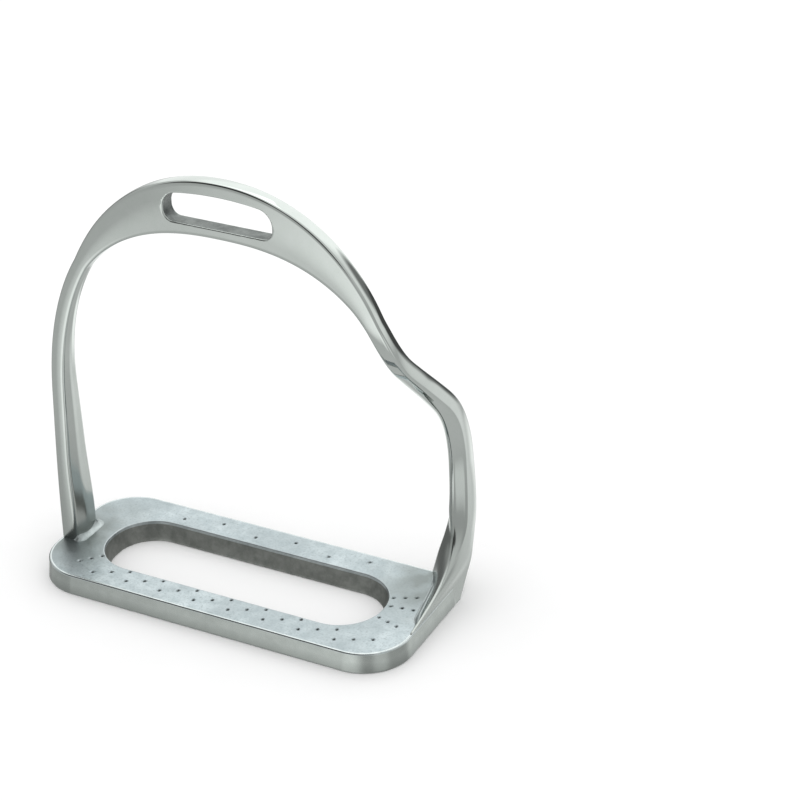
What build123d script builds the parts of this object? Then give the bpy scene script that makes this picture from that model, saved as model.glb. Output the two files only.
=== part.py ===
from build123d import *
import os
from math import atan2, cos, radians, sin, sqrt, tan

# A stainless bent-leg safety stirrup iron. Millimetres, +Z up.
# Origin: centre of the tread slot, on the plane of the tread's underside.
# +X points to the outer, bent leg. +Y is the way that leg is bent.

# ---- driving dimensions -------------------------------------------------------------------
inside_width = 120.65         # between the legs, just above the tread: a 4 3/4 inch iron
overall_height = 147.3        # underside of the tread to the crown of the bow

# tread
tread_length = 133.0          # along X, on the top face
tread_width = 54.0            # along Y, on the top face
tread_thickness = 7.0
tread_corner = 16.0           # plan radius of three corners, on the top face
tread_foot_corner = 7.0       # the corner under the bent leg is fuller, to carry its foot
tread_flare = 0.6             # the side walls stand out this far at the underside
tread_rim = 0.7               # rounding of the top edges
tread_base_edge = 0.4         # rounding of the bottom edges
slot_length = 102.7           # on the top face
slot_width = 31.0
slot_corner = 14.8
slot_draft = 1.6              # the slot is this much smaller all round at the underside

# grip pits: punched in slanting rows of three
pit_radius = 0.65
pit_depth = 0.5
pit_step = (5.6, 2.6)         # from one pit to the next in a row
front_row_y = -21.9           # first pit of each row on the front bar
front_row_pitch = 12.9
front_row_count = 8
back_pit_y = (19.6, 22.4)     # the back bar has single pits, alternately near and far
back_pit_pitch = 14.0
back_pit_count = 6
end_row_radii = (16.6, 20.4, 24.2)     # rows at the ends run out from the slot's end centres
end_rows = ((-1, -132.0), (1, -17.0), (1, 8.0), (1, 25.0))  # which end, and the row's angle

# bow
bow_y = -1.7                  # the bow stands a little off the middle of the tread
bow_depth = 5.4               # along Y, over the arch
straight_leg_depth = 12.2     # along Y, at the foot of the straight leg
bent_leg_depth = 12.6         # across the bent leg in its side view
leg_thickness = 5.0           # along X, half way up a leg
foot_thickness = 6.1          # along X, at the foot of a leg
crown_height = 18.4           # size of the arch at its middle, in its own plane
arch_spring = 62.0            # height at which the straight leg turns into the arch
arch_fullness = 2.2           # exponent of the arch's superellipse: 2 is an ellipse
arch_taper_x = 52.0           # half-width over which the arch narrows to a leg's thickness
arch_taper_power = 1.15
widening = (105.0, 15.0)      # heights between which a leg widens along Y
thickening = (40.0, 10.0)     # heights between which a leg thickens along X, inwards
edge_radius = 0.8
arch_ridge = 0.3              # the bow's inner side rises to a soft ridge along its middle
leg_ridge = 0.9

# bent leg's centre line in its side view: three straight runs joined by two arcs
bend_start_z = 101.0          # upper corner, on the bow's plane
bend_reach = (47.0, 48.0)     # Y and Z of the corner furthest out
bend_foot_y = 23.5            # where the lowest run meets the floor
bend_upper_radius = 32.0
bend_lower_radius = 50.0
bent_leg_inset = 3.0          # the bent leg stands this far inside the straight one's mirror image
inset_growth = (118.0, 85.0)  # heights between which the inset grows
inset_fading = (45.0, 4.0)    # heights between which it fades out again

# the bent leg is twisted: the corners of its cross-section move (inwards, backwards)
twist_growth = (95.0, 58.0)   # heights between which the twist grows
twist_fading = (26.0, 9.0)    # heights between which it fades out again
outer_front_twist = (-0.9, 3.7)
prow_twist = (0.0, 0.4)
inner_front_twist = (-0.5, 1.4)
back_twist = (0.0, 1.0)
prow_share = 0.53             # place of the prow along the front, from the outer side

# bent leg's foot
bent_foot_top = 42.0          # from here down its cross-sections are level
foot_spread = (34.0, 2.0)     # heights between which the middle of its inner side swells
foot_spread_by = 4.2
heel_spread = (30.0, 4.0)     # heights between which its back thickens inwards
heel_spread_by = 5.0
foot_tuck = (12.0, -2.0)      # heights between which its back draws in over the tread's edge
foot_tuck_by = 5.0
flare_top = 26.0              # from here down its front sweeps out along the tread's end
flare_reach = 30.0
flare_power = 3.3
flare_tip_thickness = 0.9
flare_thinning = (30.0, 10.0) # heights between which its front thins to the tip's thickness
flare_root_thickness = 5.5    # where the flare meets the leg, on the tread's top
flare_root_shift = 1.15       # how far forward the meeting line is, in half-depths of the leg

# leather eye
eye_length = 38.2
eye_height = 10.8
eye_floor = 132.1             # height of its flat lower side
eye_low_radius = 3.4
eye_high_radius = 4.4
eye_crown = 1.8               # rise of its arched upper side

# weld metal
weld_size = 2.4
flare_weld_width = 1.7        # the bead is narrower along the bent leg's foot
weld_setback = 0.4            # the bead stops this far short of the tread's edge
weld_bite = 0.6               # its top edge lies this far inside the leg

LEG_OUTER_X = inside_width / 2 + foot_thickness
ARCH_HALF_WIDTH = LEG_OUTER_X - leg_thickness / 2
RIM_HEIGHT = tread_thickness - tread_rim
ARCH_RISE = overall_height - crown_height / 2 - arch_spring
STRAIGHT, BENT = -1, 1


# ---- laws that shape the bow --------------------------------------------------------------
def fade(z, heights):
    """0 at or above the first height, 1 at or below the second, smooth between."""
    top, bottom = heights
    t = min(max((top - z) / (top - bottom), 0.0), 1.0)
    return t * t * (3 - 2 * t)


def bent_leg_y(z):
    """Y of the bent leg's centre line at a height."""
    reach_y, reach_z = bend_reach
    upper = atan2(reach_y - bow_y, bend_start_z - reach_z)
    lower = atan2(reach_y - bend_foot_y, reach_z)
    upper_tangent = bend_upper_radius * tan(upper / 2)
    lower_tangent = bend_lower_radius * tan((upper + lower) / 2)
    if z >= bend_start_z + upper_tangent:
        return bow_y
    if z >= bend_start_z - upper_tangent * cos(upper):
        drop = bend_start_z + upper_tangent - z
        return bow_y + bend_upper_radius - sqrt(bend_upper_radius**2 - drop**2)
    if z >= reach_z + lower_tangent * cos(upper):
        return bow_y + (bend_start_z - z) * tan(upper)
    if z >= reach_z - lower_tangent * cos(lower):
        centre_y = reach_y - lower_tangent * sin(upper) - bend_lower_radius * cos(upper)
        centre_z = reach_z + lower_tangent * cos(upper) - bend_lower_radius * sin(upper)
        return centre_y + sqrt(bend_lower_radius**2 - (z - centre_z) ** 2)
    return bend_foot_y + z * tan(lower)


def arch_point(side, angle):
    """The arch's centre line, at an angle up from its springing."""
    power = 2 / arch_fullness
    x = ARCH_HALF_WIDTH * cos(radians(angle)) ** power
    z = arch_spring + ARCH_RISE * sin(radians(angle)) ** power
    if side == STRAIGHT:
        return Vector(-x, bow_y, z)
    return Vector(x - bent_leg_inset * fade(z, inset_growth), bent_leg_y(z), z)


def leg_point(side, z):
    """A leg's centre line, below the arch's springing."""
    x = LEG_OUTER_X - leg_thickness_at(z) / 2
    if side == STRAIGHT:
        return Vector(-x, bow_y, z)
    inset = bent_leg_inset * (fade(z, inset_growth) - fade(z, inset_fading))
    return Vector(x - inset, bent_leg_y(z), z)


def leg_thickness_at(z):
    return leg_thickness + (foot_thickness - leg_thickness) * fade(z, thickening)


def depth_at(side, z):
    widest = straight_leg_depth if side == STRAIGHT else bent_leg_depth
    return bow_depth + (widest - bow_depth) * fade(z, widening)


def seven_sided(plane, corners):
    """A cross-section with its outer side on the plane's Y axis. Each corner is (inwards, Y), in
    the order outer front, prow, inner front, root, ridge, inner back, outer back. The prow and
    the root stay sharp, being nearly flat, and the others are rounded."""
    placed = [Vector(-inwards, -y) for inwards, y in corners]
    outline = Polygon(*placed, align=None)
    front_width = (placed[2] - placed[0]).length
    blunt = [placed[1], placed[3]]
    rounded = [
        vertex for vertex in outline.vertices()
        if min((Vector(vertex.X, vertex.Y) - point).length for point in blunt) > 0.001
    ]
    return plane * fillet(rounded, min(edge_radius, front_width * 0.3))


def moved(corner, twist_by, twist):
    """A corner moved by a share of its full twist."""
    return tuple(place + by * twist for place, by in zip(corner, twist_by))


def between(start, end, share):
    """The point a share of the way from one corner to another."""
    return tuple(a + (b - a) * share for a, b in zip(start, end))


def twist_at(side, z):
    return fade(z, twist_growth) - fade(z, twist_fading) if side == BENT else 0.0


def ridge_at(z):
    return arch_ridge + (leg_ridge - arch_ridge) * fade(z, widening)


def square_section(side, centre, along, thick):
    """The bow's cross-section square to its centre line."""
    outward = along.cross(Vector(0, 1, 0)).normalized()
    half_depth = depth_at(side, centre.Z) / 2
    plane = Plane(origin=centre + outward * (thick / 2), x_dir=outward, z_dir=along)
    twist = twist_at(side, centre.Z)
    inner_front = moved((thick, -half_depth), inner_front_twist, twist)
    ridge = (thick + ridge_at(centre.Z), inner_front_twist[1] * twist)
    return seven_sided(plane, (
        moved((0, -half_depth), outer_front_twist, twist),
        moved((thick * prow_share, -half_depth), prow_twist, twist),
        inner_front,
        between(inner_front, ridge, 0.5),
        ridge,
        moved((thick, half_depth), back_twist, twist),
        moved((0, half_depth), back_twist, twist),
    ))


def arch_section(side, angle):
    step = 0.05
    centre = arch_point(side, angle)
    swell = max(0.0, 1 - (centre.X / arch_taper_x) ** 2) ** arch_taper_power
    thick = leg_thickness + (crown_height - leg_thickness) * swell
    along = arch_point(side, angle + step) - arch_point(side, max(angle - step, 0))
    return square_section(side, centre, along * -side, thick)


def leg_section(side, z):
    step = 0.05
    along = leg_point(side, z + step) - leg_point(side, z - step)
    return square_section(side, leg_point(side, z), along * -side, leg_thickness_at(z))


def bent_foot_section(z, flared=True):
    """A level cross-section of the bent leg's foot, thin in front where it flares out."""
    centre = leg_point(BENT, z)
    thick = leg_thickness_at(z)
    half_depth = depth_at(BENT, z) / 2
    twist = twist_at(BENT, z)
    sweep = max(0.0, flare_top - z) / (flare_top - tread_thickness) if flared else 0.0
    front = centre.Y - half_depth - flare_reach * sweep**flare_power
    back = centre.Y + half_depth - foot_tuck_by * fade(z, foot_tuck)
    thinned = fade(z, flare_thinning) if flared else 0.0
    front_thickness = thick + (flare_tip_thickness - thick) * thinned
    inner_front = moved((front_thickness, front), inner_front_twist, twist)
    swollen = thick + ridge_at(z) + foot_spread_by * fade(z, foot_spread)
    ridge = (swollen, centre.Y + inner_front_twist[1] * twist)
    root = (flare_root_thickness, centre.Y - half_depth * flare_root_shift)
    heel = thick + heel_spread_by * fade(z, heel_spread)
    plane = Plane(origin=(centre.X + thick / 2, 0, z), x_dir=(1, 0, 0), z_dir=(0, 0, -1))
    return seven_sided(plane, (
        moved((0, front), outer_front_twist, twist),
        moved((front_thickness * prow_share, front), prow_twist, twist),
        inner_front,
        between(between(inner_front, ridge, 0.5), root, min(sweep, 1.0) ** 2),
        ridge,
        moved((heel, back), back_twist, twist),
        moved((0, back), back_twist, twist),
    ))


def bow_blank():
    """Both legs and the arch, as one smooth bar of changing section."""
    angles = [0.0, 8.0, 16.0, 24.0, 33.0, 42.0, 52.0, 63.0, 76.0]
    bent_heights = [55.0, 48.0, 42.0, 36.0, 30.0, 25.0, 21.0, 17.5, 14.5, 12.0, 10.0, 8.5, 7.2]
    sections = [leg_section(STRAIGHT, z) for z in (RIM_HEIGHT, 18.0, 31.0, 44.0, 55.0)]
    sections += [arch_section(STRAIGHT, angle) for angle in angles]
    sections += [arch_section(STRAIGHT, 89.9)]
    sections += [arch_section(BENT, angle) for angle in reversed(angles)]
    sections += [leg_section(BENT, z) for z in bent_heights if z > bent_foot_top]
    sections += [bent_foot_section(z) for z in bent_heights if z <= bent_foot_top]
    sections += [bent_foot_section(RIM_HEIGHT)]
    return loft(sections)


def bent_foot_heel():
    """The lowest part of the bent leg, which wraps the tread's corner down to its underside."""
    return loft([bent_foot_section(z, flared=False) for z in (RIM_HEIGHT, 3.2, 0.0)])


def leather_eye():
    """The slot for the stirrup leather: flat below, arched above, cut through along Y."""
    half = eye_length / 2
    top = eye_floor + eye_height
    shoulder = top - eye_crown
    with BuildSketch(Plane.XZ) as sketch:
        with BuildLine():
            Line((-half, shoulder), (-half, eye_floor))
            Line((-half, eye_floor), (half, eye_floor))
            Line((half, eye_floor), (half, shoulder))
            ThreePointArc((half, shoulder), (0, top), (-half, shoulder))
        make_face()
        fillet(sketch.vertices().group_by(Axis.Y)[0], eye_low_radius)
        fillet(sketch.vertices().group_by(Axis.Y)[-1], eye_high_radius)
    return extrude(sketch.sketch, amount=bow_depth * 2, both=True)


def bow():
    return bow_blank() + bent_foot_heel() - leather_eye() - tread_plate()


# ---- tread --------------------------------------------------------------------------------
def tread_outline(grow, height):
    """The tread's plan outline, let out all round by a margin, at a height."""
    plate = Rectangle(tread_length + 2 * grow, tread_width + 2 * grow)
    others = plate.vertices().sort_by(lambda corner: corner.X + corner.Y)[:3]
    plate = fillet(others, tread_corner + grow)
    foot = plate.vertices().sort_by(lambda corner: corner.X + corner.Y)[-1]
    return Pos(0, 0, height) * fillet(foot, tread_foot_corner + grow)


def slot_outline(shrink, height):
    size = (slot_length - 2 * shrink, slot_width - 2 * shrink, slot_corner - shrink)
    return Plane.XY.offset(height) * RectangleRounded(*size)


def tread_plate():
    """The tread's bar: flared outer wall, tapered slot, rounded rims."""
    outside = loft([tread_outline(tread_flare, 0), tread_outline(0, tread_thickness)], ruled=True)
    slot = loft([slot_outline(slot_draft, 0), slot_outline(0, tread_thickness)], ruled=True)
    plate = outside - slot
    plate = fillet(plate.faces().sort_by(Axis.Z)[-1].edges(), tread_rim)
    return fillet(plate.faces().sort_by(Axis.Z)[0].edges(), tread_base_edge)


def pit_places():
    step_x, step_y = pit_step
    for row in range(front_row_count):
        start_x = (row - (front_row_count - 1) / 2) * front_row_pitch
        for pit in range(3):
            yield start_x + pit * step_x, front_row_y + pit * step_y
    for pit in range(back_pit_count):
        yield (pit - (back_pit_count - 1) / 2) * back_pit_pitch, back_pit_y[pit % 2]
    for end, angle in end_rows:
        for radius in end_row_radii:
            x = end * (slot_length / 2 - slot_corner) + radius * cos(radians(angle))
            yield x, radius * sin(radians(angle))


def tread():
    plate = tread_plate()
    pit = Cone(pit_radius / 4, pit_radius, pit_depth, align=(Align.CENTER, Align.CENTER, Align.MAX))
    pits = [Pos(x, y, tread_thickness) * pit for x, y in pit_places()]
    return plate - pits


# ---- welds --------------------------------------------------------------------------------
def bead(base, top, solid_bow):
    """A sloping bead on the tread's top face, from its base outline up to one inside the leg."""
    mound = loft([base, top], ruled=True)
    ground = extrude(tread_outline(-weld_setback, tread_thickness), amount=weld_size * 2)
    return (mound & ground) - solid_bow


def inner_leg_weld(solid_bow):
    foot = leg_point(STRAIGHT, tread_thickness)
    thick = leg_thickness_at(tread_thickness)
    depth = depth_at(STRAIGHT, tread_thickness)
    grown = RectangleRounded(thick + 2 * weld_size, depth + 2 * weld_size, weld_size)
    shrunk = RectangleRounded(thick - 2 * weld_bite, depth - 2 * weld_bite, edge_radius)
    base = Plane(foot) * grown
    top = Plane(foot).offset(weld_size) * shrunk
    return bead(base, top, solid_bow)


def outer_leg_weld(solid_bow):
    foot = bent_foot_section(tread_thickness)
    base = Pos(-flare_weld_width, 0, 0) * foot
    top = Pos(weld_bite, 0, weld_size) * foot
    return bead(base, top, solid_bow)


if __name__ == "__main__":
    os.makedirs("parts", exist_ok=True)
    solid_bow = bow()
    nodes = {
        "bow": solid_bow,
        "tread": tread(),
        "inner_leg_weld": inner_leg_weld(solid_bow),
        "outer_leg_weld": outer_leg_weld(solid_bow),
    }
    for name, shape in nodes.items():
        export_step(shape, f"parts/{name}.step")
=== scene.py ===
from math import atan2, cos, pi, radians, sin, sqrt, tan

import bpy
import numpy as np
from mathutils import Matrix, Vector, noise


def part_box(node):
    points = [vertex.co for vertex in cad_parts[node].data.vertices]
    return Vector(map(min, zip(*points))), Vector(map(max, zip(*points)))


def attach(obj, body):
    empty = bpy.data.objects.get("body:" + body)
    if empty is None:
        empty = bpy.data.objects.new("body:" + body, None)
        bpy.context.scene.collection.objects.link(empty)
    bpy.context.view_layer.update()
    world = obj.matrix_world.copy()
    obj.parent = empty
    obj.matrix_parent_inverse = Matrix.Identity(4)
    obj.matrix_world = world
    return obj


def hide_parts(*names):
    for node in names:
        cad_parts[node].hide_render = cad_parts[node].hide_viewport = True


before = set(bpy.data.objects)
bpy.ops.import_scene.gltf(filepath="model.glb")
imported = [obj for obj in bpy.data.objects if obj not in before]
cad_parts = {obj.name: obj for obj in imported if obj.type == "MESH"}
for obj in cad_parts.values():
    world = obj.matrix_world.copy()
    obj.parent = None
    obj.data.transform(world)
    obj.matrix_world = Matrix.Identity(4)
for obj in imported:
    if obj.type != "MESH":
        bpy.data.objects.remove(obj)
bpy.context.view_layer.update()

# A stainless bent-leg safety stirrup iron on a pale studio floor. Metres, in the frame's own
# axes: +X points to the bent leg, +Y is the way that leg is bent, +Z up.
MM = 0.001
STRAIGHT, BENT = -1, 1
ROOT = "root"

# ---- sizes read from the frame ------------------------------------------------------------
_, tread_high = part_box("tread")
bow_low, bow_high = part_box("bow")
TREAD_TOP = tread_high[2]
CROWN_TOP = bow_high[2]
LEG_OUTER_X = -bow_low[0]

# ---- tread --------------------------------------------------------------------------------
TREAD_LENGTH = 133.0 * MM          # on the top face
TREAD_WIDTH = 54.0 * MM
TREAD_CORNER = 16.0 * MM
TREAD_FOOT_CORNER = 7.0 * MM       # the corner under the bent leg
TREAD_FLARE = 0.6 * MM             # the walls stand out this far at the underside
TREAD_RIM = 0.55 * MM
TREAD_BASE_EDGE = 0.4 * MM
SLOT_LENGTH = 102.7 * MM
SLOT_WIDTH = 31.0 * MM
SLOT_CORNER = 14.8 * MM
SLOT_DRAFT = 1.6 * MM
SLOT_RIM = 0.35 * MM

# grip pits
PIT_RADIUS = 0.72 * MM
PIT_DEPTH = 0.55 * MM
PIT_STEP = (5.6 * MM, 2.6 * MM)
FRONT_ROW_Y = -21.9 * MM
FRONT_ROW_PITCH = 12.9 * MM
FRONT_ROW_COUNT = 8
BACK_PIT_Y = (19.6 * MM, 22.4 * MM)
BACK_PIT_PITCH = 14.0 * MM
BACK_PIT_COUNT = 6
END_ROW_RADII = (16.6 * MM, 20.4 * MM, 24.2 * MM)
END_ROWS = ((-1, -132.0), (1, -17.0), (1, 8.0), (1, 25.0))

# ---- bow ----------------------------------------------------------------------------------
BOW_Y = -1.7 * MM
BOW_DEPTH = 5.4 * MM
STRAIGHT_LEG_DEPTH = 12.2 * MM
BENT_LEG_DEPTH = 12.6 * MM
LEG_THICKNESS = 5.0 * MM
FOOT_THICKNESS = 6.1 * MM
CROWN_HEIGHT = 18.4 * MM
ARCH_SPRING = 62.0 * MM
ARCH_FULLNESS = 2.2
ARCH_TAPER_X = 52.0 * MM
ARCH_TAPER_POWER = 1.15
WIDENING = (105.0 * MM, 15.0 * MM)
THICKENING = (40.0 * MM, 10.0 * MM)
EDGE_RADIUS = 1.15 * MM
ARCH_RIDGE = 0.3 * MM
LEG_RIDGE = 0.9 * MM
ARCH_HALF_WIDTH = LEG_OUTER_X - LEG_THICKNESS / 2
ARCH_RISE = CROWN_TOP - CROWN_HEIGHT / 2 - ARCH_SPRING

# bent leg
BEND_START_Z = 101.0 * MM
BEND_REACH = (47.0 * MM, 48.0 * MM)
BEND_FOOT_Y = 23.5 * MM
BEND_UPPER_RADIUS = 32.0 * MM
BEND_LOWER_RADIUS = 50.0 * MM
BENT_LEG_INSET = 3.0 * MM
INSET_GROWTH = (118.0 * MM, 85.0 * MM)
INSET_FADING = (45.0 * MM, 4.0 * MM)
LEVELLING = (52.0 * MM, 42.0 * MM)      # the cross-sections turn level between these heights
TWIST_GROWTH = (95.0 * MM, 58.0 * MM)   # the leg is twisted between these heights
TWIST_FADING = (26.0 * MM, 9.0 * MM)
OUTER_FRONT_TWIST = Vector((-0.9, 3.7)) * MM    # its corners move so, inwards and backwards
PROW_TWIST = Vector((0.0, 0.4)) * MM
INNER_FRONT_TWIST = Vector((-0.5, 1.4)) * MM
BACK_TWIST = 1.0 * MM                   # backwards
PROW_SHARE = 0.53                       # of the thickness, from the outer side
FOOT_SPREAD = (34.0 * MM, 2.0 * MM)     # the middle of its inner side swells
FOOT_SPREAD_BY = 4.2 * MM
HEEL_SPREAD = (30.0 * MM, 4.0 * MM)
HEEL_SPREAD_BY = 5.0 * MM
FOOT_TUCK = (12.0 * MM, -2.0 * MM)
FOOT_TUCK_BY = 5.0 * MM
FLARE_TOP = 26.0 * MM
FLARE_REACH = 30.0 * MM
FLARE_POWER = 3.3
FLARE_TIP_THICKNESS = 0.9 * MM
FLARE_THINNING = (30.0 * MM, 10.0 * MM)
FLARE_ROOT_THICKNESS = 5.5 * MM
FLARE_ROOT_SHIFT = 1.15
FLUSHING = (14.0 * MM, 7.0 * MM)        # the outer side runs flush into the tread's end wall
FLUSH_PROUD = 0.02 * MM
FLUSH_ENDING = (3.5 * MM, 1.5 * MM)
FLUSH_SINK = 0.12 * MM

# the faces are very slightly crowned
OUTER_CROWN = 0.03                      # of a face's width
FACE_CROWN = 0.012
PROW_CROWN = 0.02                       # of the thickness
FLARE_TIP_SINK = 0.3 * MM               # the flare's tip dips into the tread's end wall

# leather eye
EYE_LENGTH = 38.2 * MM
EYE_HEIGHT = 10.8 * MM
EYE_FLOOR = 132.1 * MM
EYE_LOW_RADIUS = 3.4 * MM
EYE_HIGH_RADIUS = 4.4 * MM
EYE_CROWN = 1.8 * MM
EYE_MOUTH_RADIUS = 0.5 * MM

# welds
WELD_SIZE = 2.6 * MM
WELD_RISE = 2.4 * MM
WELD_BITE = 0.6 * MM
FLARE_WELD_SIZE = 1.7 * MM
FLARE_WELD_RISE = 2.2 * MM
WELD_SINK = 0.4 * MM                    # a bead's underside is this far below the tread's top
WELD_LUMP = 0.1 * MM
LUMP_SIZE = 3.6 * MM
SMALL_LUMP_SIZE = 1.8 * MM
BEAD_TAPER = 0.2                        # of a bead's length, at each end
BEAD_SPACING = 0.25 * MM
INNER_WELD_START = 2.2 * MM             # its first end, out from the leg's inner side
INNER_WELD_END = 1.2 * MM               # its last end, in from the leg's outer side
OUTER_WELD_START = 0.8                  # share of the way from the foot's root to its ridge
OUTER_WELD_SETBACK = 3 * MM             # it stops this far short of the flare's tip


# ---- meshes -------------------------------------------------------------------------------
def lerp(a, b, t):
    return a + (b - a) * t


def fade(z, heights):
    """0 at or above the first height, 1 at or below the second, smooth between."""
    top, bottom = heights
    t = min(max((top - z) / (top - bottom), 0.0), 1.0)
    return t * t * (3 - 2 * t)


def add_object(name, mesh, materials):
    for material in materials:
        mesh.materials.append(material)
    mesh.polygons.foreach_set("use_smooth", [True] * len(mesh.polygons))
    piece = bpy.data.objects.new(name, mesh)
    bpy.context.scene.collection.objects.link(piece)
    return piece


def grid_mesh(name, rings, ring_joins_first, row_materials=None):
    """A mesh over closed rings of points: a torus if the last ring joins the first, otherwise
    a tube with capped ends. Its UV map is in metres, along the rings' sequence and around."""
    points = np.array(rings, dtype=float)
    rows, columns = points.shape[:2]
    along = np.linalg.norm(np.diff(points, axis=0), axis=2).mean(axis=1)
    along = np.concatenate([[0.0], np.cumsum(along), [along.sum() + along.mean()]])
    closed = np.concatenate([points, points[:, :1]], axis=1)
    around = np.linalg.norm(np.diff(closed, axis=1), axis=2).mean(axis=0)
    around = np.concatenate([[0.0], np.cumsum(around)])
    faces = []
    corners = []
    materials = []
    for row in range(rows if ring_joins_first else rows - 1):
        following = (row + 1) % rows
        for column in range(columns):
            beside = (column + 1) % columns
            faces.append((
                row * columns + column,
                row * columns + beside,
                following * columns + beside,
                following * columns + column,
            ))
            corners += [
                (along[row], around[column]),
                (along[row], around[column + 1]),
                (along[row + 1], around[column + 1]),
                (along[row + 1], around[column]),
            ]
            materials.append(row_materials[row] if row_materials else 0)
    if not ring_joins_first:
        for row, step in ((0, -1), (rows - 1, 1)):
            cap = [row * columns + column for column in range(columns)][::step]
            faces.append(cap)
            corners += [(along[row], around[index % columns]) for index in cap]
            materials.append(0)
    mesh = bpy.data.meshes.new(name)
    mesh.from_pydata(points.reshape(-1, 3).tolist(), [], faces)
    layer = mesh.uv_layers.new(name="surface")
    layer.data.foreach_set("uv", np.array(corners, dtype=np.float32).ravel())
    mesh.polygons.foreach_set("material_index", materials)
    return mesh


def facing_out(mesh):
    """Turns the faces outwards, by the sign of the enclosed volume."""
    volume = 0.0
    for face in mesh.polygons:
        first, *others = [mesh.vertices[index].co for index in face.vertices]
        for second, third in zip(others, others[1:]):
            volume += first.dot(second.cross(third))
    if volume < 0:
        mesh.flip_normals()
    return mesh


def bumpy(point, size, seed):
    """Smooth noise from -1 to 1 with lumps of a size, in metres."""
    return noise.noise(Vector(point) / size + Vector((seed, seed * 1.7, seed * 2.3)))


# ---- the bow's centre line ----------------------------------------------------------------
def bent_leg_y(z):
    """Three straight runs joined by two arcs, in the side view."""
    reach_y, reach_z = BEND_REACH
    upper = atan2(reach_y - BOW_Y, BEND_START_Z - reach_z)
    lower = atan2(reach_y - BEND_FOOT_Y, reach_z)
    upper_tangent = BEND_UPPER_RADIUS * tan(upper / 2)
    lower_tangent = BEND_LOWER_RADIUS * tan((upper + lower) / 2)
    if z >= BEND_START_Z + upper_tangent:
        return BOW_Y
    if z >= BEND_START_Z - upper_tangent * cos(upper):
        drop = BEND_START_Z + upper_tangent - z
        return BOW_Y + BEND_UPPER_RADIUS - sqrt(BEND_UPPER_RADIUS**2 - drop**2)
    if z >= reach_z + lower_tangent * cos(upper):
        return BOW_Y + (BEND_START_Z - z) * tan(upper)
    if z >= reach_z - lower_tangent * cos(lower):
        centre_y = reach_y - lower_tangent * sin(upper) - BEND_LOWER_RADIUS * cos(upper)
        centre_z = reach_z + lower_tangent * cos(upper) - BEND_LOWER_RADIUS * sin(upper)
        return centre_y + sqrt(BEND_LOWER_RADIUS**2 - (z - centre_z) ** 2)
    return BEND_FOOT_Y + z * tan(lower)


def arch_point(side, angle):
    power = 2 / ARCH_FULLNESS
    x = ARCH_HALF_WIDTH * cos(radians(angle)) ** power
    z = ARCH_SPRING + ARCH_RISE * sin(radians(angle)) ** power
    if side == STRAIGHT:
        return Vector((-x, BOW_Y, z))
    return Vector((x - BENT_LEG_INSET * fade(z, INSET_GROWTH), bent_leg_y(z), z))


def leg_thickness_at(z):
    return lerp(LEG_THICKNESS, FOOT_THICKNESS, fade(z, THICKENING))


def leg_point(side, z):
    x = LEG_OUTER_X - leg_thickness_at(z) / 2
    if side == STRAIGHT:
        return Vector((-x, BOW_Y, z))
    inset = BENT_LEG_INSET * (fade(z, INSET_GROWTH) - fade(z, INSET_FADING))
    return Vector((x - inset, bent_leg_y(z), z))


def arch_thickness_at(x):
    swell = max(0.0, 1 - (x / ARCH_TAPER_X) ** 2) ** ARCH_TAPER_POWER
    return lerp(LEG_THICKNESS, CROWN_HEIGHT, swell)


def depth_at(side, z):
    widest = STRAIGHT_LEG_DEPTH if side == STRAIGHT else BENT_LEG_DEPTH
    return lerp(BOW_DEPTH, widest, fade(z, WIDENING))


def ridge_at(z):
    return lerp(ARCH_RIDGE, LEG_RIDGE, fade(z, WIDENING))


def heights(start, end, step):
    return [float(z) for z in np.arange(start, end, step * np.sign(end - start))]


BOW_START_Z = 5.5 * MM                   # the straight leg starts inside the tread
STRAIGHT_LEG_STEP = 0.8 * MM
ARCH_STEP = 0.6                          # degrees
BENT_LEG_STEP = 0.7 * MM
FOOT_STEP = 0.25 * MM


def bow_stations():
    """(side, centre, thickness) along the bow, from the straight foot to the bent one."""
    stations = []
    for z in heights(BOW_START_Z, ARCH_SPRING, STRAIGHT_LEG_STEP):
        stations.append((STRAIGHT, leg_point(STRAIGHT, z), leg_thickness_at(z)))
    for angle in np.arange(0.0, 90.0, ARCH_STEP):
        centre = arch_point(STRAIGHT, angle)
        stations.append((STRAIGHT, centre, arch_thickness_at(centre.x)))
    for angle in np.arange(90.0, 0.0, -ARCH_STEP):
        centre = arch_point(BENT, angle)
        stations.append((BENT, centre, arch_thickness_at(centre.x)))
    upper = heights(ARCH_SPRING, FLARE_TOP, BENT_LEG_STEP)
    lower = heights(FLARE_TOP, 0.0, FOOT_STEP)
    for z in upper + lower + [0.0]:
        stations.append((BENT, leg_point(BENT, z), leg_thickness_at(z)))
    return stations


# ---- the bow's cross-sections -------------------------------------------------------------
EDGE_POINTS = 7
RIDGE_POINTS = 11
RUN_POINTS = (9, 9, 5, 5, 8, 16, 26)    # two at the front, three inside, back, outer side
ROUNDING_LIMIT = 0.45                   # of the shorter run beside a corner
EDGE_LIMIT = 0.3                        # of the front's width
BLUNT_PROW = 0.2                        # of the front's width


def rounded_corner(before, corner, after, reach, count):
    """Points round a corner, on a curve that starts and ends at a distance from it."""
    reach_in = min(reach, (corner - before).length * ROUNDING_LIMIT)
    reach_out = min(reach, (after - corner).length * ROUNDING_LIMIT)
    start = corner + (before - corner).normalized() * reach_in
    end = corner + (after - corner).normalized() * reach_out
    points = []
    for index in range(count):
        t = index / (count - 1)
        points.append(lerp(lerp(start, corner, t), lerp(corner, end, t), t))
    return points


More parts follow.
